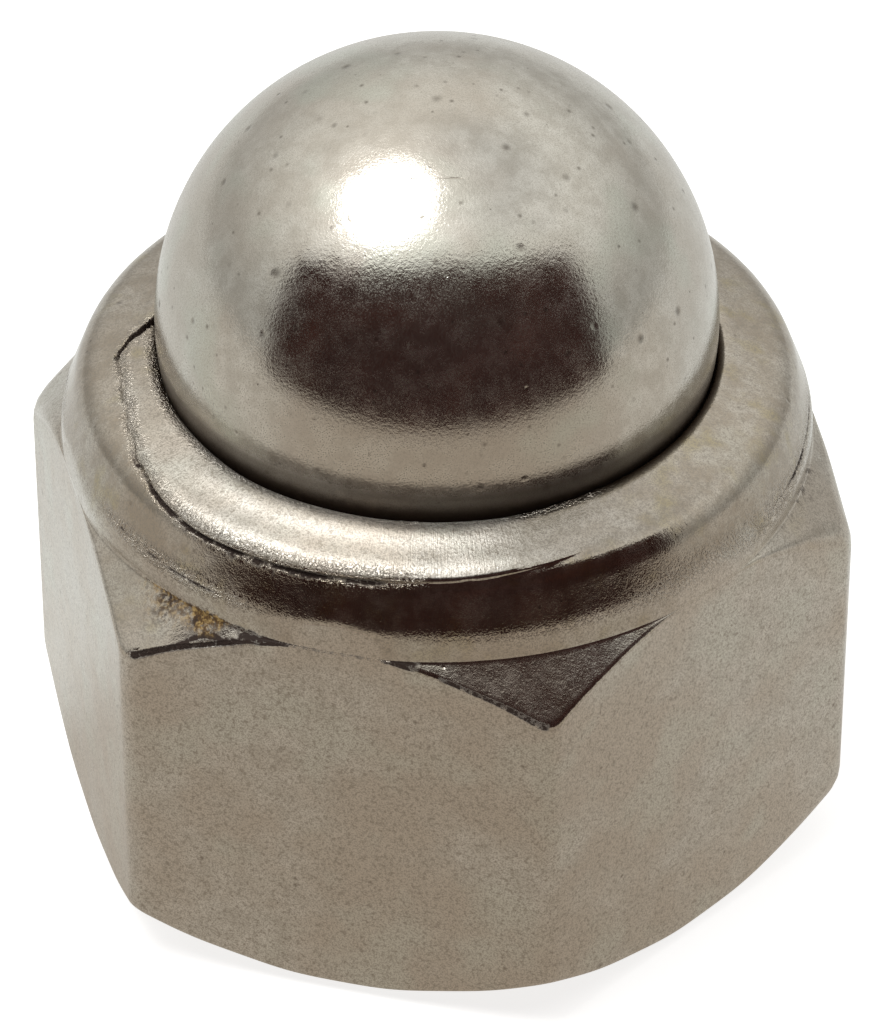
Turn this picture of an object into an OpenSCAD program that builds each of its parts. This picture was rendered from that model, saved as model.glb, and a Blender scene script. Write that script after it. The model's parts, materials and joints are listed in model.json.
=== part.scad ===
// Hexagon cap nut with a locking ring: a nut body whose collar is rolled in over the
// flange of a drawn dome cap, with a polyamide ring held under that flange.
// The origin is the centre of the bearing face, +Z runs up through the dome, and two
// of the six corners lie on the X axis.

/* [Hexagon] */
// Width across the flats
across_flats = 24; // [23:0.5:30]
// Height of the sharp corner edges' upper ends above the bearing face
corner_h = 12.42; // [9:0.1:16]
// Radius that the six upright edges are rounded to
corner_round = 0.85; // [0.3:0.05:1.5]
// Slope of the upper corner chamfers, in degrees from level
top_chamfer = 44; // [30:1:50]
// Slope of the lower corner chamfers, in degrees from level
bottom_chamfer = 40; // [15:1:45]
// How far the bearing face ends inside the flats
bearing_step = 0.5; // [0.2:0.1:1.5]

/* [Thread] */
// Nominal thread diameter
thread_d = 16; // [12:1:17]
// Thread pitch
thread_pitch = 2; // [1.5:0.25:2.5]
// How far the countersunk mouth is wider than the thread, on the radius
mouth_step = 0.5; // [0.2:0.1:1]
// Slope of the mouth's countersink, in degrees from the axis
mouth_angle = 45; // [30:5:60]

/* [Rolled collar] */
// How far the collar's foot stands proud of the flats
collar_proud = 0.1; // [0.05:0.05:0.4]
// Thickness of the collar's wall at its foot
collar_wall = 1.4; // [1:0.1:2]
// Height of the upright band at the collar's foot
collar_band = 0.85; // [0.4:0.05:1.5]
// Lean of the collar's outside above that band, in degrees from upright
collar_lean = 19; // [10:1:25]
// Radius of the shoulder where the collar turns inwards
shoulder_round = 1.2; // [0.6:0.1:1.5]
// Fall of the rolled lip from its inner edge to the shoulder, in degrees from level
lip_fall = 15; // [5:1:20]
// Thickness of the rolled lip over the cap's flange
lip_wall = 1.9; // [1.6:0.1:2.5]
// Radius on the lip's inner edge
lip_edge = 0.35; // [0.1:0.05:0.4]
// Gap between the lip's inner edge and the cap
lip_gap = 0.3; // [0.1:0.05:0.5]

/* [Locking ring] */
// Depth of the ring's seat below the collar's foot
seat_drop = 3.1; // [2:0.1:4]
// Height of the ring
ring_h = 3.8; // [3:0.1:5]
// How far the ring's bore is smaller than the thread, on the radius
ring_bite = 0.55; // [0.3:0.05:0.8]
// Gap between the ring and the wall of its pocket
ring_clear = 0.05; // [0.02:0.01:0.1]

/* [Dome cap] */
// Gap between the bolt's thread and the inside of the cap's skirt
bolt_clear = 0.06; // [0.05:0.01:0.5]
// Thickness of the cap's sheet
cap_wall = 0.8; // [0.5:0.1:1.2]
// How far the dome is wider than the skirt below it, on the radius
dome_step = 0.12; // [0.05:0.01:0.3]
// Height of the dome's centre above the top of the flange
skirt_h = 2.92; // [2:0.1:5]
// Radius of the bend between the skirt and the flange
flange_bend = 0.9; // [0.5:0.1:1]
// Gap between the flange's rim and the wall of its pocket
flange_clear = 0.1; // [0.05:0.05:0.2]
// Radius on the flange's rim and in the pocket's upper corner
rim_round = 0.3; // [0.1:0.05:0.35]

/* [Hidden] */

steel = "#a29a8f";
cap_steel = "#a8a197";
polyamide = "#e6e2d6";

turns = 96;                                    // facets round a turned surface
corner_r = across_flats / 2 / cos(30);         // sharp hexagon corner
out_r = corner_r + 1;                          // outside every corner
bearing_r = across_flats / 2 - bearing_step;
thread_cut = 1.0825 * thread_pitch;            // how much less the bore's diameter is
bore_r = (thread_d - thread_cut) / 2;
mouth_r = thread_d / 2 + mouth_step;
mouth_h = (mouth_r - bore_r) / tan(mouth_angle);

collar_r = across_flats / 2 + collar_proud;
foot_z = corner_h + (corner_r - collar_r) * tan(top_chamfer);
pocket_r = collar_r - collar_wall;
seat_z = foot_z - seat_drop;
flange_z = seat_z + ring_h;
flange_top = flange_z + cap_wall;

skirt_r = thread_d / 2 + bolt_clear + cap_wall;
dome_r = skirt_r + dome_step;
dome_z = flange_top + skirt_h;
flange_r = pocket_r - flange_clear;

lip_r = skirt_r + lip_gap;
lip_top = flange_top + lip_wall;
// the flange's bend, limited by the width that the pocket leaves beside the lip
bend = min(flange_bend, pocket_r - rim_round - lip_r - lip_gap);
bend_slack = 0.001;                            // keeps the ends of two tangent arcs apart
// the sharp corner where the collar's leaning side would meet the top of the lip
band_z = foot_z + collar_band;
lean = tan(collar_lean);
fall = tan(lip_fall);
shoulder_z = (lip_top - fall * (collar_r - lip_r + lean * band_z)) / (1 - fall * lean);
shoulder_r = collar_r - lean * (shoulder_z - band_z);

// The points of an arc of radius r that rounds the corner p between points a and b.
function rounded_corner(a, p, b, r, steps = 10) =
    let (u = (a - p) / norm(a - p), v = (b - p) / norm(b - p), half = acos(u * v) / 2,
         centre = p + (u + v) / norm(u + v) * r / sin(half),
         from = p + u * r / tan(half) - centre, to = p + v * r / tan(half) - centre,
         start = atan2(from.y, from.x), turn = atan2(to.y, to.x) - start,
         sweep = turn > 180 ? turn - 360 : turn < -180 ? turn + 360 : turn)
    [for (i = [0:steps]) centre + r * [cos(start + sweep * i / steps), sin(start + sweep * i / steps)]];

// A closed outline of corners, each [x, y, radius], with the radius rounded on it.
function rounded(corners) =
    let (n = len(corners), at = [for (c = corners) [c.x, c.y]])
    [for (i = [0:n - 1]) each corners[i].z == 0 ? [at[i]]
        : rounded_corner(at[(i + n - 1) % n], at[i], at[(i + 1) % n], corners[i].z)];

// The body's section, from the mouth of the bore round the outside and down the inside.
function body_section() = rounded([
    [mouth_r, 0, 0],
    [bearing_r, 0, 0],
    [out_r, (out_r - bearing_r) * tan(bottom_chamfer), 0],
    [out_r, foot_z - (out_r - collar_r) * tan(top_chamfer), 0],
    [collar_r, foot_z, 0],
    [collar_r, band_z, collar_band],
    [shoulder_r, shoulder_z, shoulder_round],
    [lip_r, lip_top, lip_edge],
    [lip_r, flange_top, bend + lip_gap],
    [pocket_r, flange_top, rim_round],
    [pocket_r, seat_z, 0],
    [bore_r, seat_z, 0],
    [bore_r, mouth_h, 0]]);

// The hexagon seen from above, with its corners rounded.
function hexagon() = rounded([for (i = [0:5]) [corner_r * cos(60 * i), corner_r * sin(60 * i), corner_round]]);

module nut_body()
    color(steel)
    intersection() {
        linear_extrude(lip_top + 1) polygon(hexagon());
        rotate_extrude($fn = turns) polygon(body_section());
    }

module locking_ring() {
    bore = thread_d / 2 - ring_bite;
    rim = pocket_r - ring_clear;
    color(polyamide)
    rotate_extrude($fn = turns)
    polygon(rounded([
        [bore, seat_z, rim_round], [rim, seat_z, 0], [rim, flange_z, 0], [bore, flange_z, rim_round]]));
}

// Half the section of a dome of radius r on a skirt of radius side, down to the flange.
module dome_half(r, side)
    intersection() {
        translate([0, flange_z]) square([r, dome_z + r]);
        union() {
            translate([0, dome_z]) circle(r = r, $fn = turns);
            translate([0, flange_z]) square([side, skirt_h + cap_wall]);
        }
    }

module dome_cap()
    color(cap_steel)
    rotate_extrude($fn = turns) {
        // the drawn dome and its skirt, above the bend
        difference() {
            dome_half(dome_r, skirt_r);
            dome_half(dome_r - cap_wall, skirt_r - cap_wall);
            translate([0, flange_z]) square([dome_r, cap_wall + bend]);
        }
        // the bend and the flange
        polygon(rounded([
            [skirt_r, flange_top + bend, 0],
            [skirt_r - cap_wall, flange_top + bend, 0],
            [skirt_r - cap_wall, flange_z, bend + cap_wall - bend_slack],
            [flange_r, flange_z, 0],
            [flange_r, flange_top, rim_round],
            [skirt_r, flange_top, bend - bend_slack]]));
    }

nut_body();
locking_ring();
dome_cap();
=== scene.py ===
import json
import math

import bpy
import numpy as np
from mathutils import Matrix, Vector, noise


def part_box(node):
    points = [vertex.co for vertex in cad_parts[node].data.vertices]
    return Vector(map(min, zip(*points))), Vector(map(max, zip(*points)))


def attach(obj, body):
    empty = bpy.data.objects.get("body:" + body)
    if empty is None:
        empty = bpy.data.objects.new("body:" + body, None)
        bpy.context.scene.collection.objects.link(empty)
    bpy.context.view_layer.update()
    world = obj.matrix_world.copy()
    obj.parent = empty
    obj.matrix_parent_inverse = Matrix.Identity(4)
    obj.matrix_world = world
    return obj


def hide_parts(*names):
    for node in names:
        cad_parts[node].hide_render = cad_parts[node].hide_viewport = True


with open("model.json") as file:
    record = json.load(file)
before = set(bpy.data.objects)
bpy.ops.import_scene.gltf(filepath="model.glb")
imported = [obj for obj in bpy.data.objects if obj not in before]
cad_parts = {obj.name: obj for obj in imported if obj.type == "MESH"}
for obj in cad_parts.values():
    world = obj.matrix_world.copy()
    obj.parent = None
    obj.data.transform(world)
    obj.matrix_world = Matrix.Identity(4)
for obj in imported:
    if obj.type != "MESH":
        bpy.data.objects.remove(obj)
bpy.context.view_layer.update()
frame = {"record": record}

# ---------------------------------------------------------------------------------------------
# Nut body
# One piece of stainless steel: a hexagon bar turned, drilled and tapped, with a thin collar on
# top that is rolled inwards over the cap's flange. The rolling left a lap and a split in the lip.
# ---------------------------------------------------------------------------------------------
MM = 0.001

body_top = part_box("nut_body")[1] / MM
cap_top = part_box("dome_cap")[1] / MM
ring_low, ring_top = (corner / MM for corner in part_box("locking_ring"))
bore = next(m for m in frame["record"]["mounts"] if m["name"] == "thread")["dims"]["r_mm"]

flat_r = body_top.y                       # axis to a flat
corner_r = flat_r / math.cos(math.radians(30))
corner_round = 0.85                       # radius on the six upright edges
bearing_r = flat_r - 0.5
bottom_slope = math.tan(math.radians(40))
top_slope = math.tan(math.radians(44))
collar_r = flat_r + 0.08
foot_z = ring_low.z + 3.1                 # where the collar rises from the corner chamfers
lip_r = cap_top.x - 1.7                   # inner edge of the rolled lip
flange_top = ring_top.z + 0.8
flange_bend = 0.9                         # outer radius between the cap's skirt and its flange
lip_top = flange_top + 1.9
pocket_r = ring_top.x + 0.05
seat_z = ring_low.z
pitch = 2.0                               # of the thread
thread_r = 8.0
mouth_r = thread_r + 0.5                  # the countersunk mouth of the bore
left_corner, right_corner = 240, 300      # degrees round the axis of the two corners in front


def soft_step(x):
    """Rises smoothly from 0 to 1 as x goes from 0 to 1."""
    x = np.clip(x, 0, 1)
    return x * x * (3 - 2 * x)


def bell(x):
    """A smooth bump of height 1 and width about 1, centred on 0."""
    return np.exp(-x * x)


def angles_apart(a, b):
    """How many degrees a lies past b, from -180 to 180."""
    return (a - b + 180) % 360 - 180


def grain(points, size, seed):
    """Smooth random values from -1 to 1 at points in millimetres, with features about size apart."""
    shift = Vector((seed * 7.3, seed * 3.1, seed * 5.7))
    return np.array([noise.noise(Vector(p) / size + shift) for p in points])


# the columns stand closer together at the six corners and at the split
split_from, split_to = 183.5, 197.0       # degrees round the axis, at the lip's edge and at its outer end
columns = 512
even = np.linspace(0, 360, 7201)
closeness = 1 + 2.5 * bell(angles_apart(even * 6, 0) / 6 / 2.2)
closeness += 3 * bell(angles_apart(even, (split_from + split_to) / 2) / 8)
filled = np.cumsum(closeness) - closeness[0]
theta = np.interp(np.linspace(0, filled[-1], columns + 1), filled, even)
turn = np.radians(theta)

# the rounded hexagon's radius in each direction
off_corner = np.radians(np.abs(angles_apart(theta * 6, 0)) / 6)
round_centre = (flat_r - corner_round) / math.cos(math.radians(30))
on_round = round_centre * np.cos(off_corner) + np.sqrt(
    np.maximum(corner_round ** 2 - (round_centre * np.sin(off_corner)) ** 2, 0))
on_flat = flat_r / np.cos(math.radians(30) - off_corner)
round_ends = math.atan2(corner_round * 0.5, round_centre + corner_round * math.cos(math.radians(30)))
hex_r = np.where(off_corner < round_ends, on_round, on_flat)

# what a row of the section holds at every column: its radius, its height and how strong each mark is
# the first mark holds dirt together with painted shade in the hollows and gaps
marks = ("dirt_and_shade", "rust", "frayed", "film")
R, Z, DIRT_AND_SHADE, RUST, FRAYED, FILM = range(6)


def facing(angle, width):
    """A smooth bump of height 1 on the side that faces angle, about as many degrees wide as width."""
    return bell(angles_apart(theta, angle) / width)


def between(low, high, rise, drop):
    """1 from low to high degrees, rising within the first few of them and dropping within the last."""
    return soft_step((theta - low) / rise) * soft_step((high - theta) / drop)


def in_space(rows):
    """The points of rows of radius and height, in millimetres."""
    return np.stack([rows[:, R] * np.cos(turn), rows[:, R] * np.sin(turn), rows[:, Z]], -1)


def place(r, z, *amounts):
    """One row of the section: its radius and height and the amounts of its marks at every column."""
    amounts += (0,) * (len(marks) - len(amounts))
    return np.array([value + 0 * theta for value in (r, z, *amounts)])


def soft_corner(before, corner, after, reach, count=4):
    """The rows of a corner, rounded from at most reach before it to at most reach after it."""
    ends = []
    for other in (before, after):
        side = other - corner
        share = np.minimum(reach / np.maximum(np.hypot(side[0], side[1]), 1e-6), 0.45)
        ends.append(corner + side * share)
    t = np.linspace(0, 1, count + 1)[:, None, None]
    return (1 - t) ** 2 * ends[0] + 2 * t * (1 - t) * corner + t * t * ends[1]


def through(*parts):
    """Joins groups of rows by even steps: some rows, a number of steps, the next rows and so on."""
    rows = [parts[0]]
    for count, part in zip(parts[1::2], parts[2::2]):
        t = np.linspace(0, 1, count + 1)[1:-1, None, None]
        rows += [rows[-1][-1] + t * (part[0] - rows[-1][-1]), part]
    return np.concatenate(rows)


# the turned collar's outside, from its foot to the lip's inner edge, followed by its length
lean = math.tan(math.radians(20.5))       # the collar leans in as it rises
fall = math.tan(math.radians(15))         # the lip's top falls outwards
band_z = foot_z + 0.8                     # below this the collar is upright
shoulder_z = (lip_top - fall * (collar_r - lip_r + lean * band_z)) / (1 - fall * lean)
shoulder_r = collar_r - lean * (shoulder_z - band_z)
corners = np.array([[collar_r, foot_z], [collar_r, band_z], [shoulder_r, shoulder_z],
                    [lip_r, lip_top], [lip_r, flange_top + flange_bend]])
collar = [corners[:1]]
for i, radius in ((1, 1.6), (2, 1.2), (3, 0.5)):
    back, ahead = corners[i - 1] - corners[i], corners[i + 1] - corners[i]
    back, ahead = back / np.hypot(*back), ahead / np.hypot(*ahead)
    half = math.acos(back @ ahead) / 2
    centre = corners[i] + (back + ahead) / np.hypot(*(back + ahead)) * radius / math.sin(half)
    start = corners[i] + back * radius / math.tan(half) - centre
    end = corners[i] + ahead * radius / math.tan(half) - centre
    start, end = math.atan2(start[1], start[0]), math.atan2(end[1], end[0])
    arc = np.linspace(start, start + (end - start + math.pi) % (2 * math.pi) - math.pi, 25)
    collar.append(centre + radius * np.stack([np.cos(arc), np.sin(arc)], -1))
collar.append(corners[-1:])
collar = np.concatenate(collar)
along = np.concatenate([[0], np.cumsum(np.hypot(*np.diff(collar, axis=0).T))])
lip_edge = along[-2]

# the rows of the collar follow the crease above its foot and the lap round the lip
torn_side = 212                           # where the rolling tore the lap most, beside the split
lap_side = 222                            # where the lap has come up to its full height
crease_s = 1.02 + 0.12 * np.sin(turn * 2 + 0.7) + 0.05 * np.sin(turn * 7)
lap_s = 4.05 - 1.45 * soft_step((theta - 203) / 45) + 0.12 * soft_step((theta - 258) / 25)
lap_s += 1.33 * soft_step((theta - 283) / 75)
lap_s += (0.05 * np.sin(turn * 41) + 0.03 * np.sin(turn * 97)) * facing(torn_side, 14)
foot = 0 * theta                          # the anchors are where each group of rows ends, from the foot
anchors = [foot, crease_s, lap_s, foot + lip_edge - 0.8, foot + lip_edge + 0.1, foot + along[-1]]
s_rows = [foot[None]]
for start, end, count in zip(anchors, anchors[1:], (8, 18, 18, 10, 5)):
    t = 0.5 - 0.5 * np.cos(np.pi * np.linspace(0, 1, count + 1))[1:, None]
    s_rows.append(start + t * (end - start))
s_rows = np.concatenate(s_rows)
collar_rows = np.stack([np.interp(s_rows, along, collar[:, k]) for k in (R, Z)], 1)
# the flats run softly out into the collar, which is a little wider than they are
blend = 0.03
collar_rows[:, R] = -blend * np.logaddexp(-collar_rows[:, R] / blend, -hex_r / blend)
collar_points = in_space(collar_rows).reshape(-1, 3)
ragged, torn, uneven = (grain(collar_points, size, seed).reshape(s_rows.shape)
                        for size, seed in ((0.35, 1), (0.9, 2), (2.6, 3)))

# what the rolling left: a raised lap with a ragged gutter beside it, the split, and the crease
split_end = 3.85                          # the split stops this far up the collar
split_r = 9.9                             # the lip's radius where it is split
split_angle = split_from + (lip_edge - s_rows) / (lip_edge - split_end - 0.1) * (split_to - split_from)
past_split = np.radians(angles_apart(theta, split_angle)) * split_r
past_split += 0.08 * np.sin(s_rows * 9) + 0.12 * ragged
inward = s_rows - lap_s + (0.25 + 0.75 * facing(torn_side, 16)) * (0.06 * ragged + 0.05 * torn)
beyond_split = soft_step(past_split / 0.12) * (theta > 150)
lap_full = soft_step((theta - lap_side) / 12)
lap_here = beyond_split * (1 - soft_step((theta - 268) / 16)) * (0.3 + 0.7 * lap_full)
lifted = beyond_split * (1 - soft_step((theta - 285) / 30)) * (0.55 + 0.45 * lap_full)
split_width = 0.12 + 0.07 * soft_step((s_rows - split_end - 0.15) / 0.6)
above_split_end = soft_step((s_rows - split_end) / 0.2)
open_split = soft_step((split_width - np.abs(past_split)) / 0.14 + 0.5) * above_split_end
crease = (0.5 + 0.5 * np.cos(turn * 6)) ** 1.5 * (1 - 0.8 * facing(right_corner, 25))
height = 0.010 * uneven + 0.004 * torn
height += 0.10 * lifted * soft_step(inward / 0.07 + 0.5) * (1 - soft_step(inward / 1.9)) * (1 + 0.25 * torn)
height -= 0.09 * lap_here * bell((inward + 0.07) / 0.06) * np.clip(0.9 + 1.0 * torn, 0.3, 1.5)
height += 0.075 * bell((s_rows - lip_edge + 1.2) / 0.36) * between(225, 306, 20, 20)
height -= 0.28 * open_split
height -= 0.03 * crease * bell((s_rows - crease_s) / 0.05)
# the lip reaches further over the cap at the sides and behind, and has two small bumps in front
height += 0.12 * bell((s_rows - lip_edge + 0.4) / 0.3) * (1 - between(lap_side, 318, 25, 22))
bumps = facing(278.6, 0.5) + facing(281.2, 0.6) + 0.5 * np.clip(ragged, 0, 1)
height += 0.05 * bumps * bell((s_rows - lip_edge + 0.6) / 0.12)
tangent = np.gradient(collar_rows, axis=0)
tangent /= np.maximum(np.hypot(tangent[:, R], tangent[:, Z]), 1e-6)[:, None]
collar_rows = collar_rows + height[:, None] * np.stack([tangent[:, Z], -tangent[:, R]], 1)

# dark marks, partly dirt and partly painted shade, in the lap, the split, the crease and the gap round the
# cap, and a brown film outside the lap
# a painted shadow under the lap's raised edge, and patchy dirt just inside it
dirt_and_shade = 1.2 * lap_here * bell((inward + 0.09) / 0.08) * np.clip(0.8 + 1.0 * torn + 0.6 * ragged, 0, 1)
dirt_and_shade += 0.40 * lap_here * bell((inward + 0.30) / 0.22) * np.clip(0.1 + 1.5 * ragged, 0, 1)
# painted shade and dirt down in the split
dirt_and_shade += soft_step((split_width + 0.08 - np.abs(past_split)) / 0.12 + 0.5) * above_split_end
# painted shade and dirt in the crease and where the collar rises from the chamfers
dirt_and_shade += 0.9 * crease * bell((s_rows - crease_s) / 0.06) * np.clip(0.6 + 1.2 * torn, 0, 1)
dirt_and_shade += 0.7 * crease * bell(s_rows / 0.08) * np.clip(0.6 + 1.2 * ragged, 0, 1)
dirt_and_shade += facing(250, 8) * bell((s_rows - 0.04) / 0.10) * np.clip(0.9 + 0.8 * torn, 0, 1)
# painted shade down the lip's inner edge into the gap round the cap
dirt_and_shade += soft_step((s_rows - lip_edge - 0.08) / 0.20)
frayed = lap_here ** 0.3 * bell((inward - 0.08) / 0.25)
frayed += bell((s_rows - lip_edge + 0.5) / 0.2) * between(190, 330, 10, 30)
frayed += 0.4 * bell((s_rows - crease_s) / 0.5) * between(312, 357, 12, 8)
frayed += 0.5 * bell(past_split / 0.6) * soft_step((s_rows - split_end + 0.05) / 0.2)
frayed += 0.9 * crease * bell((s_rows - crease_s) / 0.24)
film = soft_step((lap_s - s_rows) / 0.3 + 0.6)
film = 0.8 + (0.95 * film - 0.8) * between(189, 335, 44, 50)
flat_end = np.where(hex_r < collar_r, np.interp(-hex_r, -collar[:, R], along), 0)
film *= np.minimum(0.5 + 0.5 * soft_step((s_rows - 0.7) / 0.6), soft_step((s_rows - flat_end) / 0.6 + 0.3))


def rust_at(z):
    """How rusty the steel is at height z, in every direction."""
    low = z - foot_z
    stain = facing(249.7, 2.6) * bell((low + 0.08) / 0.33)
    line = 0.75 * facing(243, 9) * bell((low - 0.05) / 0.10)
    return stain + line + 0.25 * facing(355, 6) * bell((low + 0.3) / 0.5)


collar_marks = np.stack([dirt_and_shade, rust_at(collar_rows[:, Z]), frayed, film], 1)
collar_rows = np.concatenate([collar_rows, collar_marks], 1)


def thread_radius(z):
    """The tapped bore's radius at height z in every direction, with the countersunk mouth."""
    phase = (z - pitch * turn / (2 * np.pi)) % pitch
    crest, flank, root = pitch / 4, pitch * 5 / 16, pitch / 8
    cut = np.clip((phase - crest) / flank, 0, 1) - np.clip((phase - crest - flank - root) / flank, 0, 1)
    return np.maximum(bore + (thread_r - bore) * cut, mouth_r - z)


# the chamfer's edge is burred and dirty at the left corner and crushed at the right one, and the
# tips where the corner chamfers run out under the collar are painted dark, as painted shade
burr = between(left_corner, 257, 2, 3)
wavy = 0.012 * np.sin(turn * 37)
crushed = between(284, 300.5, 3, 1.5)
bottom_edge = place(hex_r, (hex_r - bearing_r) * bottom_slope + 0.02 * np.sin(turn * 23))
over_edge = np.maximum(hex_r - collar_rows[0, R] - 0.02, 0)
facet_tip = bell((over_edge - 0.09) / 0.09) * between(242, 306, 8, 8)
top_edge = place(hex_r, foot_z - over_edge * top_slope + wavy * soft_step(over_edge / 0.4),
                 0.88 * burr + 0.6 * crushed + facet_tip, 0, burr, 0.3)
# the mouth, the pocket, the seat and the bore are painted darker, and the lip's underside, deep in the gap
# round the cap, is painted dark as painted shade
mouth = place(mouth_r, 0, 0.4)
bearing = place(bearing_r, 0)
lip_under = [place(lip_r + flange_bend * (1 - math.cos(a)), flange_top + flange_bend * (1 - math.sin(a)), 1)
             for a in np.radians([15, 30, 45, 60, 75, 90])]
pocket_top = place(pocket_r, flange_top, 0.6)
seat_corner = place(pocket_r, seat_z, 0.5)
seat_inner = place(thread_radius(seat_z), seat_z, 0.5)
rounding = 0.08 * bell(angles_apart(theta * 6, 0) / 6 / 6) + 0.55 * bell(angles_apart(theta * 2, 0) / 2 / 10)

# the flats below the rim stay clean, and the chamfers above it carry a film
top_rim = soft_corner(bottom_edge, top_edge, collar_rows[0], 0.12 + rounding)
top_rim[1:4, R] -= 0.05 * burr
top_rim[[0, -1], DIRT_AND_SHADE:] = 0
facet_film = 0.23 + 0.4 * facing(left_corner, 18)
top_rim[-1, DIRT_AND_SHADE] = facet_tip
top_rim[-1, FILM] = facet_film
chamfer_end = np.array(collar_rows[0])
chamfer_end[DIRT_AND_SHADE] = 0.6 * chamfer_end[DIRT_AND_SHADE] + facet_tip
chamfer_end[FILM] = facet_film

# the whole section in every direction, from the mouth of the bore round the outside to the seat
outline = through(
    mouth[None], 4,
    soft_corner(mouth, bearing, bottom_edge, 0.15, 3), 5,
    soft_corner(bearing, bottom_edge, top_edge, 0.15 + rounding), 22,
    top_rim, 14,
    soft_corner(top_rim[-1], chamfer_end, collar_rows[2], 0.06, 3)[:-1], 1,
    collar_rows[1:], 2,
    np.array(lip_under), 3,
    soft_corner(lip_under[-1], pocket_top, seat_corner, 0.3, 4), 6,
    seat_corner[None], 5,
    seat_inner[None])
outline[:, R] = np.minimum(outline[:, R], hex_r)

# dirt along the burred edge and at its right-hand end, and rust that runs down from the collar's foot
line_up = outline[:, Z] - top_edge[Z] - 0.22 * facing(250, 2.6) - 0.02
on_facet = (outline[:, R] > collar_r + 0.02) * (outline[:, Z] > foot_z - 2)
outline[:, DIRT_AND_SHADE] += burr * on_facet * bell(line_up / 0.075)
outline[:, DIRT_AND_SHADE] += 0.8 * on_facet * facing(256.5, 1.3) * (line_up > -0.05)
on_outside = outline[:, R] > bearing_r + 0.4
outline[:, RUST] = np.maximum(outline[:, RUST], rust_at(outline[:, Z]) * on_outside)

# the tapped bore's rows wind down with the thread to the mouth
phases = (0, 0.25, 0.5, 0.8125, 1.125, 1.25, 1.375, 1.6875)
turns = math.ceil(seat_z / pitch)
thread_rows = []
for k in range((turns + 1) * len(phases) + 1):
    start = turns * pitch - pitch * (k // len(phases)) - phases[k % len(phases)] * pitch / 2
    z = np.clip(start + pitch * turn / (2 * np.pi), 0, seat_z)
    thread_rows.append(place(thread_radius(z), z, 0.4))
thread_rows = np.array(thread_rows)


def only(obj):
    """Makes obj the one selected and active object."""
    bpy.ops.object.select_all(action="DESELECT")
    obj.select_set(True)
    bpy.context.view_layer.objects.active = obj


def sheet(rows):
    """A grid wrapped round the axis, one ring of points for each row, with the marks stored on it."""
    bpy.ops.object.select_all(action="DESELECT")
    bpy.ops.mesh.primitive_grid_add(x_subdivisions=columns, y_subdivisions=len(rows) - 1)
    made = bpy.context.object
    made.data.vertices.foreach_set("co", (in_space(rows) * MM).ravel())
    for k, name in enumerate(marks, DIRT_AND_SHADE):
        layer = made.data.attributes.new(name, "FLOAT", "POINT")
        layer.data.foreach_set("value", np.clip(rows[:, k], 0, 1).astype(np.float32).ravel())
    return made


touching = 0.0000015                      # points closer than this are one
smooth_angle = math.radians(35)           # edges flatter than this are smoothed over


def weld(obj):
    """Merges what meets, turns every face outwards and smooths all but the sharp edges."""
    only(obj)
    bpy.ops.object.mode_set(mode="EDIT")
    bpy.ops.mesh.select_all(action="SELECT")
    bpy.ops.mesh.remove_doubles(threshold=touching)
    bpy.ops.mesh.dissolve_degenerate(threshold=touching)
    bpy.ops.mesh.normals_make_consistent(inside=False)
    bpy.ops.object.mode_set(mode="OBJECT")
    bpy.ops.object.shade_smooth_by_angle(angle=smooth_angle)


def pick(obj, kind, wanted):
    """Selects the faces or the vertices for which wanted is true, and stays in edit mode."""
    bpy.ops.object.mode_set(mode="EDIT")
    bpy.ops.mesh.select_mode(type=kind)
    bpy.ops.mesh.select_all(action="DESELECT")
    bpy.ops.object.mode_set(mode="OBJECT")
    for part in obj.data.polygons if kind == "FACE" else obj.data.vertices:
        part.select = wanted(part)
    bpy.ops.object.mode_set(mode="EDIT")


nut_body = sheet(outline)
nut_body.name = "nut_body_steel"
bore_sheet = sheet(thread_rows)
only(nut_body)
bore_sheet.select_set(True)
bpy.ops.object.join()
weld(nut_body)


def node(tree, kind, *values, **settings):
    """Adds a shader node. The values fill its first sockets in order, and settings are its properties."""
    made = tree.nodes.new("ShaderNode" + kind)
    for key, value in settings.items():
        setattr(made, key, value)
    for socket, value in zip(made.inputs, values):
        feed(tree, socket, value)
    return made


def feed(tree, socket, value):
    """Links an output to a socket, or sets the socket to a value, or leaves it if the value is None."""
    if isinstance(value, bpy.types.NodeSocket):
        tree.links.new(value, socket)
    elif value is not None:
        socket.default_value = value


def calc(tree, operation, *values):
    """One step of arithmetic."""
    return node(tree, "Math", *values, operation=operation).outputs[0]


def vector_calc(tree, operation, *values):
    """One step of arithmetic on vectors, giving a vector."""
    return node(tree, "VectorMath", *values, operation=operation).outputs[0]


def dot(tree, at, direction):
    """How far a vector reaches along a fixed direction."""
    return node(tree, "VectorMath", at, tuple(direction), operation="DOT_PRODUCT").outputs["Value"]


def clouds(tree, at, size, detail=2.0, rough=0.5):
    """Soft random patches about size millimetres across, from 0 to 1."""
    made = node(tree, "TexNoise", at)
    made.inputs["Scale"].default_value = 1 / size
    made.inputs["Detail"].default_value = detail
    made.inputs["Roughness"].default_value = rough
    return made.outputs[0]


def remap(tree, value, low, high, new_low=0.0, new_high=1.0):
    """Takes low to new_low and high to new_high, and holds what lies beyond."""
    made = node(tree, "MapRange", value, low, high, new_low, new_high, interpolation_type="SMOOTHSTEP")
    return made.outputs[0]


def tint(tree, share, first_colour, second_colour):
    """Mixes two colours, taking this share of the second."""
    made = tree.nodes.new("ShaderNodeMix")
    made.data_type = "RGBA"
    sockets = (made.inputs[0], made.inputs[6], made.inputs[7])
    for socket, value in zip(sockets, (share, first_colour, second_colour)):
        feed(tree, socket, (*value, 1) if isinstance(value, tuple) else value)
    return made.outputs[2]


def relief(tree, height, depth, normal=None):
    """Raises the surface by up to depth millimetres where height is 1."""
    made = node(tree, "Bump")
    feed(tree, made.inputs["Height"], height)
    feed(tree, made.inputs["Normal"], normal)
    made.inputs["Distance"].default_value = depth * MM
    return made.outputs[0]


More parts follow.
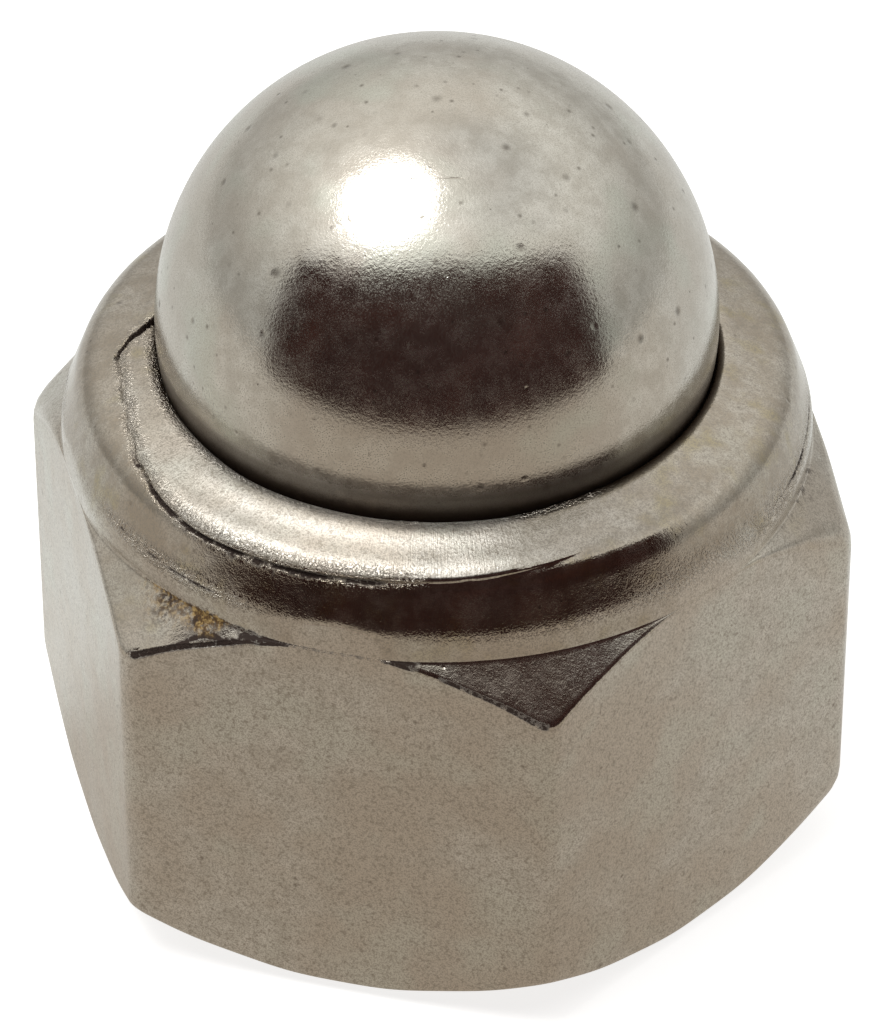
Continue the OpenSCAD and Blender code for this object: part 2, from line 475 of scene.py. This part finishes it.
def pits(tree, at, spacing, size, share, seed=0.0):
    """Small round pits, in that share of the cells of a random pattern: 1 inside a pit, 0 outside."""
    moved = vector_calc(tree, "ADD", at, (seed, seed * 2, seed * 3))
    cells = tree.nodes.new("ShaderNodeTexVoronoi")
    feed(tree, cells.inputs["Vector"], moved)
    cells.inputs["Scale"].default_value = 1 / spacing
    chance = node(tree, "SeparateColor", cells.outputs["Color"]).outputs
    reach = calc(tree, "MULTIPLY", calc(tree, "ADD", chance[1], 0.3), size / spacing)
    inside = remap(tree, cells.outputs["Distance"], 0.0, reach, 1.0, 0.0)
    return calc(tree, "MULTIPLY", inside, calc(tree, "LESS_THAN", chance[0], share))


def scratched(tree, at, *lines):
    """Straight scratches, each a start, an end and a width in millimetres: 1 along them, 0 elsewhere."""
    made = 0.0
    for start, end, width in lines:
        run = Vector(end) - Vector(start)
        here = vector_calc(tree, "SUBTRACT", at, start)
        share = calc(tree, "DIVIDE", dot(tree, here, run), run.length_squared)
        share = node(tree, "Clamp", share).outputs[0]
        nearest = node(tree, "VectorMath", operation="SCALE")
        nearest.inputs[0].default_value = run
        feed(tree, nearest.inputs["Scale"], share)
        away = node(tree, "VectorMath", here, nearest.outputs[0], operation="DISTANCE").outputs["Value"]
        made = calc(tree, "MAXIMUM", made, remap(tree, away, 0.0, width / 2, 1.0, 0.0))
    return made


def material(name):
    """A new material, as itself, its node tree and its shader."""
    made = bpy.data.materials.new(name)
    made.use_nodes = True
    return made, made.node_tree, made.node_tree.nodes["Principled BSDF"]


def millimetres(tree):
    """The place on the piece in millimetres, to lay patterns on."""
    at = node(tree, "Mapping", node(tree, "TexCoord").outputs["Object"])
    at.inputs["Scale"].default_value = (1 / MM,) * 3
    return at.outputs[0]


def steel(name, colour, gloss):
    """A bare metal, as its material, its node tree, its shader and the place on it in millimetres."""
    made, tree, shader = material(name)
    shader.inputs["Metallic"].default_value = 1.0
    shader.inputs["Base Color"].default_value = (*colour, 1)
    shader.inputs["Roughness"].default_value = gloss
    return made, tree, shader, millimetres(tree)


body_steel, tree, shader, at = steel("satin_body_steel", (0.60, 0.575, 0.525), 0.33)
broad = clouds(tree, at, 5.0, 3, 0.6)
mottle = clouds(tree, at, 0.7, 4, 0.7)
speckle = clouds(tree, at, 0.14, 2, 0.7)
grit = clouds(tree, at, 0.055, 1, 0.8)
deep_pits = pits(tree, at, 1.1, 0.13, 0.35)
pitted = calc(tree, "MAXIMUM", deep_pits, pits(tree, at, 0.5, 0.09, 0.2, 4.0))
dirt_and_shade_here, rust_here, frayed_here, film_here = (node(tree, "Attribute", attribute_name=name).outputs["Fac"]
                                                for name in marks)
nicks = scratched(tree, at,
                  ((7.24, -7.29, 17.22), (8.35, -6.61, 17.12), 0.08),
                  ((7.82, -6.42, 17.25), (8.61, -5.72, 17.20), 0.06),
                  ((6.75, -9.46, 16.38), (6.93, -9.33, 16.38), 0.12))

# the colour runs from bare steel through stains, film, specks and pits to dirt with painted shade, and rust
colour = tint(tree, remap(tree, mottle, 0.3, 0.7), (0.53, 0.505, 0.455), (0.67, 0.645, 0.595))
colour = tint(tree, remap(tree, broad, 0.36, 0.62, 0, 0.85), colour, (0.55, 0.493, 0.425))
greenish = remap(tree, clouds(tree, at, 3.1, 2, 0.6), 0.48, 0.68, 0, 0.6)
colour = tint(tree, greenish, colour, (0.61, 0.615, 0.555))
filmy = calc(tree, "MULTIPLY", film_here, remap(tree, mottle, 0.3, 0.65, 1.2, 0.65))
filmy = calc(tree, "MULTIPLY", filmy, remap(tree, broad, 0.38, 0.60, 0.8, 1.15))
colour = tint(tree, filmy, colour, (0.37, 0.32, 0.26))
bronzed = remap(tree, clouds(tree, at, 1.6, 2, 0.7), 0.52, 0.72, 0.0, 0.7)
colour = tint(tree, calc(tree, "MULTIPLY", film_here, bronzed), colour, (0.40, 0.34, 0.19))
colour = tint(tree, remap(tree, speckle, 0.50, 0.70, 0, 0.75), colour, (0.31, 0.28, 0.235))
colour = tint(tree, remap(tree, grit, 0.42, 0.66, 0, 0.65), colour, (0.30, 0.27, 0.235))
hollow = calc(tree, "MAXIMUM", pitted, nicks)
colour = tint(tree, calc(tree, "MULTIPLY", hollow, 0.65), colour, (0.14, 0.115, 0.09))
# dark brown where the first mark holds dirt and painted shade
grime_and_shade = remap(tree, calc(tree, "MULTIPLY", dirt_and_shade_here, remap(tree, speckle, 0.3, 0.6, 0.6, 1.3)), 0.2, 0.7)
colour = tint(tree, grime_and_shade, colour, (0.036, 0.024, 0.019))
rusty = calc(tree, "MULTIPLY", rust_here, remap(tree, clouds(tree, at, 0.22, 2, 0.7), 0.3, 0.65, 0.45, 1.4))
rusty = remap(tree, rusty, 0.2, 0.9, 0, 0.9)
ochre = tint(tree, remap(tree, speckle, 0.35, 0.6), (0.37, 0.245, 0.085), (0.10, 0.055, 0.02))
colour = tint(tree, rusty, colour, ochre)
feed(tree, shader.inputs["Base Color"], colour)

# dirt, painted shade and rust are dull, and the turned parts under the film are smoother than the flats
dull = calc(tree, "MAXIMUM", grime_and_shade, rusty)
feed(tree, shader.inputs["Metallic"], calc(tree, "SUBTRACT", 1.0, dull))
shader.inputs["Specular IOR Level"].default_value = 0.15
turned = remap(tree, film_here, 0.05, 0.35)
gloss = calc(tree, "ADD", remap(tree, mottle, 0.3, 0.7, 0.28, 0.36), calc(tree, "MULTIPLY", turned, -0.18))

# the lip's top keeps fine marks running in towards the cap
place_x, place_y, place_z = node(tree, "SeparateXYZ", at).outputs
angle = calc(tree, "ARCTAN2", place_y, place_x)
radius_squared = calc(tree, "ADD", calc(tree, "POWER", place_x, 2.0), calc(tree, "POWER", place_y, 2.0))
radius = calc(tree, "SQRT", radius_squared)
streak_at = node(tree, "CombineXYZ",
                 calc(tree, "MULTIPLY", angle, 150.0), calc(tree, "MULTIPLY", radius, 1.2))
on_lip = remap(tree, place_z, foot_z + 1.8, foot_z + 2.2)
on_lip = calc(tree, "MULTIPLY", on_lip, calc(tree, "SUBTRACT", 1.0, turned))
streaks = calc(tree, "MULTIPLY", clouds(tree, streak_at.outputs[0], 1.0, 2, 0.7), on_lip)
gloss = calc(tree, "ADD", gloss, calc(tree, "MULTIPLY", on_lip, 0.12))
feed(tree, shader.inputs["Roughness"], calc(tree, "ADD", gloss, calc(tree, "MULTIPLY", dull, 0.4)))
coarse = calc(tree, "SUBTRACT", 1.0, calc(tree, "MULTIPLY", turned, 0.45))
normal = relief(tree, calc(tree, "MULTIPLY", mottle, coarse), 0.010)
normal = relief(tree, calc(tree, "MULTIPLY", speckle, coarse), 0.008, normal)
normal = relief(tree, grit, 0.003, normal)
normal = relief(tree, streaks, 0.010, normal)
normal = relief(tree, calc(tree, "MAXIMUM", deep_pits, nicks), -0.015, normal)
crumbs = remap(tree, clouds(tree, at, 0.11, 2, 0.75), 0.42, 0.62)
normal = relief(tree, calc(tree, "MULTIPLY", crumbs, frayed_here), 0.045, normal)
feed(tree, shader.inputs["Normal"], normal)
nut_body.data.materials.clear()
nut_body.data.materials.append(body_steel)
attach(nut_body, "root")
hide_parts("nut_body")

# ---------------------------------------------------------------------------------------------
# Locking ring
# A moulded ring of natural polyamide in the pocket under the cap's flange. Its plain bore is
# smaller than the bolt, which cuts its own thread into it and is gripped.
# ---------------------------------------------------------------------------------------------
ring_bore = thread_r - 0.55
bpy.ops.object.select_all(action="DESELECT")
bpy.ops.mesh.primitive_cylinder_add(
    vertices=144, radius=ring_top.x * MM, depth=(ring_top.z - ring_low.z) * MM,
    location=(0, 0, (ring_top.z + ring_low.z) / 2 * MM))
locking_ring = bpy.context.object
locking_ring.name = "locking_ring_polyamide"
bpy.ops.object.transform_apply(location=True, rotation=True, scale=True)
pick(locking_ring, "FACE", lambda face: abs(face.normal.z) > 0.9)
bpy.ops.mesh.inset(thickness=(ring_top.x - ring_bore) * MM, use_individual=True)
bpy.ops.mesh.bridge_edge_loops()
bpy.ops.object.mode_set(mode="OBJECT")
rounding = locking_ring.modifiers.new("rounding", "BEVEL")
rounding.width = 0.3 * MM
rounding.segments = 4
rounding.limit_method = "ANGLE"
rounding.angle_limit = math.radians(60)
bpy.ops.object.modifier_apply(modifier="rounding")
weld(locking_ring)

polyamide, tree, shader = material("natural_polyamide")
shader.inputs["Subsurface Weight"].default_value = 0.15
shader.inputs["Subsurface Radius"].default_value = (0.0008, 0.0007, 0.0005)
at = millimetres(tree)
cloudy = clouds(tree, at, 1.5, 4)
feed(tree, shader.inputs["Base Color"], tint(tree, cloudy, (0.80, 0.78, 0.71), (0.72, 0.69, 0.60)))
feed(tree, shader.inputs["Roughness"], remap(tree, cloudy, 0.3, 0.7, 0.42, 0.55))
feed(tree, shader.inputs["Normal"], relief(tree, clouds(tree, at, 0.2, 3), 0.006))
locking_ring.data.materials.clear()
locking_ring.data.materials.append(polyamide)
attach(locking_ring, "root")
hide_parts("locking_ring")

# ---------------------------------------------------------------------------------------------
# Dome cap
# A dome drawn from stainless sheet, with a skirt and a flange that the body's lip holds down.
# It was tumbled bright, and has small pits, a few dents and fine scratches from handling.
# ---------------------------------------------------------------------------------------------
cap_wall = 0.8
skirt_r = thread_r + 0.06 + cap_wall      # the bolt's end passes inside it
dome_r = skirt_r + 0.12                   # the dome swells a little past the skirt
dome_z = cap_top.z - dome_r
dome_end = dome_z - math.sqrt(dome_r ** 2 - skirt_r ** 2)

bpy.ops.object.select_all(action="DESELECT")
bpy.ops.mesh.primitive_uv_sphere_add(
    segments=256, ring_count=144, radius=dome_r * MM, location=(0, 0, dome_z * MM))
dome_cap = bpy.context.object
dome_cap.name = "dome_cap_steel"
bpy.ops.object.transform_apply(location=True, rotation=True, scale=True)
bpy.ops.object.mode_set(mode="EDIT")
bpy.ops.mesh.select_all(action="SELECT")
bpy.ops.mesh.bisect(plane_co=(0, 0, dome_end * MM), plane_no=(0, 0, 1), clear_inner=True)
pick(dome_cap, "VERT", lambda vertex: vertex.co.z < (dome_end + 0.001) * MM)

# the skirt, the bend and the flange, as (radius, height) of each ring in turn
skirt_low = flange_top + flange_bend
steps = [(skirt_r, dome_end + (skirt_low - dome_end) * k / 6) for k in range(1, 7)]
steps += [(skirt_r + flange_bend * (1 - math.cos(a)), skirt_low - flange_bend * math.sin(a))
          for a in np.radians([11, 22, 34, 45, 56, 68, 79, 90])]
steps += [(cap_top.x - 0.3, flange_top), (cap_top.x, flange_top)]
last_r, last_z = skirt_r, dome_end
for r, z in steps:
    bpy.ops.mesh.extrude_region_move(TRANSFORM_OT_translate={"value": (0, 0, (z - last_z) * MM)})
    bpy.ops.transform.resize(value=(r / last_r, r / last_r, 1))
    last_r, last_z = r, z
bpy.ops.object.mode_set(mode="OBJECT")

# dents, as (degrees round the axis, degrees above the skirt's edge, radius, depth)
dents = [(319, 52, 0.45, 0.035), (300, 70, 0.6, 0.02), (262, 30, 0.5, 0.015), (20, 40, 0.7, 0.02),
         (120, 35, 0.9, 0.03), (75, 60, 0.5, 0.02), (190, 25, 0.6, 0.015), (225, 64, 0.4, 0.015)]
points = np.array([v.co for v in dome_cap.data.vertices]) / MM
centre = np.array([0, 0, dome_z])
outward = (points - centre) / np.linalg.norm(points - centre, axis=1, keepdims=True)
depth = 0.006 * grain(points, 3.0, 1)
for around, above, radius, deep in dents:
    a, b = math.radians(around), math.radians(above)
    spot = centre + dome_r * np.array([math.cos(a) * math.cos(b), math.sin(a) * math.cos(b), math.sin(b)])
    away = np.linalg.norm(points - spot, axis=1)
    depth += deep * bell(away / radius)
points -= outward * (np.maximum(depth, 0) * (points[:, 2] > dome_z - 1))[:, None]
dome_cap.data.vertices.foreach_set("co", (points * MM).ravel())

weld(dome_cap)
sheet_metal = dome_cap.modifiers.new("sheet", "SOLIDIFY")
sheet_metal.thickness = cap_wall * MM
sheet_metal.offset = -1
bpy.ops.object.modifier_apply(modifier="sheet")
bpy.ops.object.shade_smooth_by_angle(angle=smooth_angle)

cap_steel, tree, shader, at = steel("bright_cap_steel", (0.60, 0.58, 0.53), 0.2)
broad = clouds(tree, at, 6.0, 3, 0.55)
mottle = clouds(tree, at, 0.7, 4, 0.65)
peel = clouds(tree, at, 0.10, 2, 0.7)
grit = clouds(tree, at, 0.045, 1, 0.8)
deep_pits = pits(tree, at, 0.9, 0.20, 0.5)
pitted = calc(tree, "MAXIMUM", deep_pits, pits(tree, at, 0.42, 0.10, 0.32, 4.0))
scratches = scratched(tree, at,
                      ((0.3, -4.0, 26.55), (2.6, -3.4, 26.6), 0.09),
                      ((-0.5, -8.3, 20.9), (0.2, -8.2, 21.4), 0.06),
                      ((2.0, -6.2, 24.7), (2.9, -5.4, 24.9), 0.05),
                      ((-6.0, 4.0, 23.8), (-4.2, 6.0, 23.6), 0.07),
                      ((5.0, 5.0, 23.7), (3.0, 6.6, 23.6), 0.06))
# the foot of the dome, deep in the gap, is painted dark: painted shade, with some dirt
height_here = node(tree, "SeparateXYZ", at).outputs[2]
gap_shade_and_dirt = calc(tree, "ADD", remap(tree, height_here, lip_top + 1.0, lip_top + 0.45, 0, 0.7),
              remap(tree, height_here, lip_top + 0.5, lip_top - 0.2, 0, 0.3))
colour = tint(tree, remap(tree, mottle, 0.32, 0.68), (0.525, 0.50, 0.45), (0.665, 0.645, 0.595))
colour = tint(tree, remap(tree, broad, 0.42, 0.58, 0, 0.6), colour, (0.515, 0.465, 0.405))
greenish = remap(tree, clouds(tree, at, 3.7, 2, 0.6), 0.50, 0.68, 0, 0.8)
colour = tint(tree, greenish, colour, (0.575, 0.59, 0.525))
colour = tint(tree, remap(tree, grit, 0.42, 0.68, 0, 0.5), colour, (0.36, 0.34, 0.30))
colour = tint(tree, calc(tree, "MULTIPLY", pitted, 0.75), colour, (0.15, 0.13, 0.11))
colour = tint(tree, calc(tree, "MULTIPLY", scratches, 0.35), colour, (0.30, 0.24, 0.20))
colour = tint(tree, gap_shade_and_dirt, colour, (0.065, 0.047, 0.036))
feed(tree, shader.inputs["Base Color"], colour)
gloss = calc(tree, "ADD", remap(tree, mottle, 0.3, 0.7, 0.11, 0.19), calc(tree, "MULTIPLY", gap_shade_and_dirt, 0.3))
feed(tree, shader.inputs["Roughness"], calc(tree, "ADD", gloss, remap(tree, grit, 0.50, 0.64, 0.0, 0.13)))
normal = relief(tree, mottle, 0.004)
normal = relief(tree, peel, 0.006, normal)
normal = relief(tree, calc(tree, "MAXIMUM", deep_pits, scratches), -0.012, normal)
feed(tree, shader.inputs["Normal"], normal)
dome_cap.data.materials.clear()
dome_cap.data.materials.append(cap_steel)
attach(dome_cap, "root")
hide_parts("dome_cap")

# ---------------------------------------------------------------------------------------------
# Studio
# A pale floor, which the steel mirrors as a glow of painted light, brighter behind the nut and
# painted darker in front, pale walls, a soft round lamp high on the left, and a dark curtain in
# front, which glows faintly and is what the steel mirrors as its dark bands.
# ---------------------------------------------------------------------------------------------
view_turn = math.radians(15.17)           # the camera stands this far right of straight in front
toward = Vector((math.sin(view_turn), -math.cos(view_turn), 0))     # level, towards the camera
right = Vector((math.cos(view_turn), math.sin(view_turn), 0))       # the camera's right

bpy.ops.object.select_all(action="DESELECT")
bpy.ops.mesh.primitive_circle_add(vertices=96, radius=0.6, fill_type="NGON")
floor = bpy.context.object
floor.name = "floor"
pale, tree, shader = material("pale_floor")
shader.inputs["Base Color"].default_value = (0.5, 0.5, 0.5, 1)
shader.inputs["Roughness"].default_value = 0.9
shader.inputs["Specular IOR Level"].default_value = 0.0
rays = node(tree, "LightPath").outputs
lit = node(tree, "Emission", (1, 1, 1, 1), 0.78).outputs[0]
seen = node(tree, "AddShader", shader.outputs[0], lit).outputs[0]
here = node(tree, "TexCoord").outputs["Object"]
outward = vector_calc(tree, "NORMALIZE", here)
behind = dot(tree, outward, -toward)
away = node(tree, "VectorMath", here, operation="LENGTH").outputs["Value"]
# what the steel mirrors of the floor is painted light: a glow painted darker in front, towards the camera,
# and brighter behind, most close behind the nut
painted_floor_glow = tint(tree, remap(tree, behind, -1.0, 0.0), (0.535, 0.472, 0.398), (0.71, 0.67, 0.61))
painted_glow_near_nut = tint(tree, remap(tree, away, 0.010, 0.050), (1.06, 1.08, 1.05), (0.80, 0.80, 0.77))
painted_floor_glow = tint(tree, remap(tree, behind, 0.0, 0.35), painted_floor_glow, painted_glow_near_nut)
mirrored = node(tree, "Emission", painted_floor_glow, 1.0).outputs[0]
surface = node(tree, "MixShader", rays["Is Glossy Ray"], seen, mirrored).outputs[0]
feed(tree, tree.nodes["Material Output"].inputs["Surface"], surface)
floor.data.materials.append(pale)

bpy.ops.object.select_all(action="DESELECT")
curtain_r, curtain_low, curtain_top = 0.09, 0.004, 0.155
curtain_reach = 75                        # degrees to either side of the camera
top_fall, left_fall, hem_rise = 0.067, 0.008, 0.008
hem_share = 0.88                          # how wide its hem is beside its top
bpy.ops.mesh.primitive_cylinder_add(
    vertices=180, radius=curtain_r, depth=curtain_top - curtain_low, end_fill_type="NOTHING",
    location=(0, 0, (curtain_top + curtain_low) / 2))
curtain = bpy.context.object
curtain.name = "curtain"
bpy.ops.object.transform_apply(location=True, rotation=True, scale=True)


def degrees_aside(at):
    """How far a place lies to the right of the direction towards the camera."""
    return math.degrees(math.atan2(at.dot(right), at.dot(toward)))


pick(curtain, "FACE", lambda face: abs(degrees_aside(face.center)) > curtain_reach)
bpy.ops.mesh.delete(type="FACE")
bpy.ops.object.mode_set(mode="OBJECT")

# its top falls and its hem rises towards the sides, and it is narrower below than above
for vertex in curtain.data.vertices:
    aside = degrees_aside(vertex.co)
    if vertex.co.z > curtain_top / 2:
        vertex.co.z -= top_fall * abs(aside / curtain_reach) ** 1.5 + left_fall * soft_step(-aside / 30)
    else:
        vertex.co.z += hem_rise * (aside / curtain_reach) ** 2
        narrowed = math.radians(aside * hem_share)
        vertex.co.xy = (curtain_r * (toward * math.cos(narrowed) + right * math.sin(narrowed))).xy
cloth, tree, shader = material("dark_curtain")
shader.inputs["Base Color"].default_value = (0.035, 0.017, 0.015, 1)
shader.inputs["Roughness"].default_value = 1.0
shader.inputs["Specular IOR Level"].default_value = 0.0
# the curtain glows faintly, dim red-brown in patches, a painted reflection that the steel mirrors in its
# dark bands; it is hidden from the camera and casts no shadow
glow_patches = remap(tree, clouds(tree, node(tree, "TexCoord").outputs["Object"], 0.022, 2), 0.48, 0.75)
curtain_glow_colour = tint(tree, glow_patches, (0.020, 0.010, 0.012), (0.160, 0.045, 0.030))
feed(tree, shader.inputs["Emission Color"], curtain_glow_colour)
shader.inputs["Emission Strength"].default_value = 0.22
curtain.data.materials.append(cloth)
curtain.visible_camera = False
curtain.visible_shadow = False

lamp_data = bpy.data.lights.new("soft_lamp", "AREA")
lamp_data.shape = "DISK"
lamp_data.size = 0.135
lamp_data.energy = 0.30
lamp = bpy.data.objects.new("soft_lamp", lamp_data)
lamp.location = (-0.065, -0.048, 0.250)
lamp.rotation_euler = lamp.location.to_track_quat("Z", "Y").to_euler()
bpy.context.collection.objects.link(lamp)

world = bpy.data.worlds.new("studio")
bpy.context.scene.world = world
world.use_nodes = True
tree = world.node_tree
tree.nodes.clear()
direction = node(tree, "TexCoord").outputs["Generated"]
up = node(tree, "SeparateXYZ", direction).outputs[2]
ahead = dot(tree, direction, toward)
walls = tint(tree, remap(tree, ahead, 0.1, -0.9), (0.48, 0.47, 0.44), (0.60, 0.59, 0.56))
walls = tint(tree, remap(tree, up, 0.05, 0.8), walls, (1.04, 1.02, 0.96))
# the ceiling is duller behind on the right, and glows round the lamp
dull_part = dot(tree, direction, Vector((0.25, 0.22, 1)).normalized())
walls = tint(tree, remap(tree, dull_part, 0.82, 1.0, 0, 0.9), walls, (0.76, 0.75, 0.72))
glow = dot(tree, direction, lamp.location.normalized())
walls = tint(tree, remap(tree, glow, 0.78, 0.97, 0, 0.75), walls, (1.45, 1.43, 1.37))
rays = node(tree, "LightPath").outputs
sky = tint(tree, rays["Is Camera Ray"], walls, (1.0, 1.0, 1.0))
background = node(tree, "Background", sky, 1.0)
output = tree.nodes.new("ShaderNodeOutputWorld")
feed(tree, output.inputs["Surface"], background.outputs[0])

# the camera looks down on the nut from the front, a little to the right
view_rise = math.radians(38.13)
aim = Vector((0, 0, 0.01053)) + right * 0.00005
distance = 0.2021
back = toward * math.cos(view_rise) + Vector((0, 0, math.sin(view_rise)))
camera_data = bpy.data.cameras.new("camera")
camera_data.sensor_width = 36
camera_data.lens = 218
camera_data.clip_start = 0.01
camera = bpy.data.objects.new("camera", camera_data)
camera.location = aim + back * distance
camera.rotation_euler = back.to_track_quat("Z", "Y").to_euler()
bpy.context.collection.objects.link(camera)
bpy.context.scene.camera = camera
bpy.context.scene.view_settings.view_transform = "Standard"
